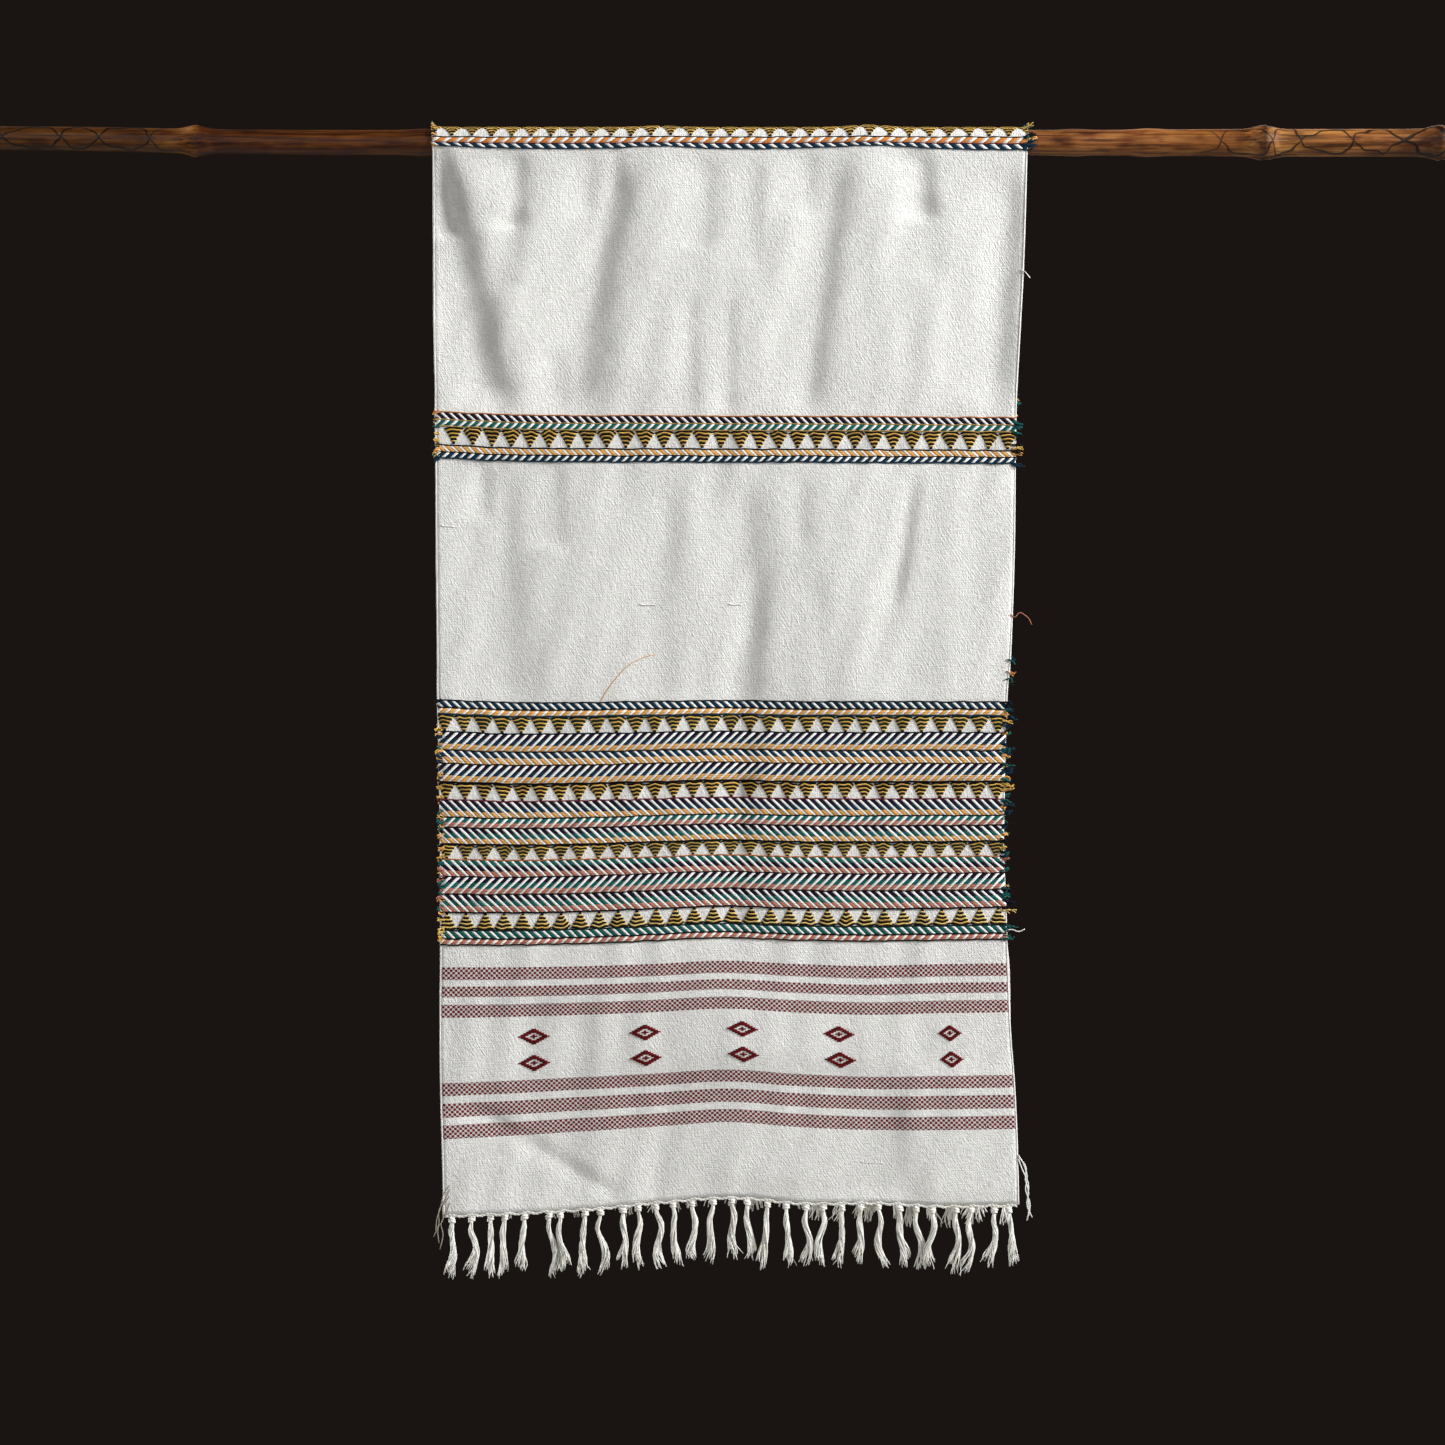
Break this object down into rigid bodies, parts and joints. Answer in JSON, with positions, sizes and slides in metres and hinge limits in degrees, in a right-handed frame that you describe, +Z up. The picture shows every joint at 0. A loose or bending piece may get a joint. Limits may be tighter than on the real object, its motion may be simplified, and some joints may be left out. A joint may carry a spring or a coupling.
{
  "type": "embroidered stole on a cane rod",
  "caption": "Long off-white handwoven stole with patterned extra-weft bands and knotted fringes, folded over a horizontal cane rod.",
  "frame": {"origin": "on the rod's axis, at the middle of the cloth's width", "axes": "+X along the rod, to the right of somebody facing the front fall; +Y from the front fall to the back fall; +Z up"},
  "size_m": [1.44, 0.0385, 1.0928],
  "materials": {
    "ground_cotton": "undyed slubby handwoven cotton, matt",
    "dyed_weft": "mustard, orange, teal and dark dyed cotton weft, matt",
    "dark_dyed_weft": "navy, dark purple, green-teal, rose and orange dyed cotton weft with undyed diagonals, matt",
    "fringe_cotton": "undyed twisted cotton yarn, knotted, matt",
    "cane": "dry brown cane with a dull sheen, dark streaks and burnt markings"
  },
  "bodies": {
    "root": {"cloth_front": "ground_cotton", "cloth_over_rod": "ground_cotton", "cloth_back": "ground_cotton", "centre_band": "dyed_weft", "narrow_band_front": "dyed_weft", "narrow_band_back": "dyed_weft", "wide_band_front": "dark_dyed_weft", "wide_band_back": "dark_dyed_weft", "fringe_front": "fringe_cotton", "fringe_back": "fringe_cotton", "rod": "cane"}
  },
  "joints": []
}
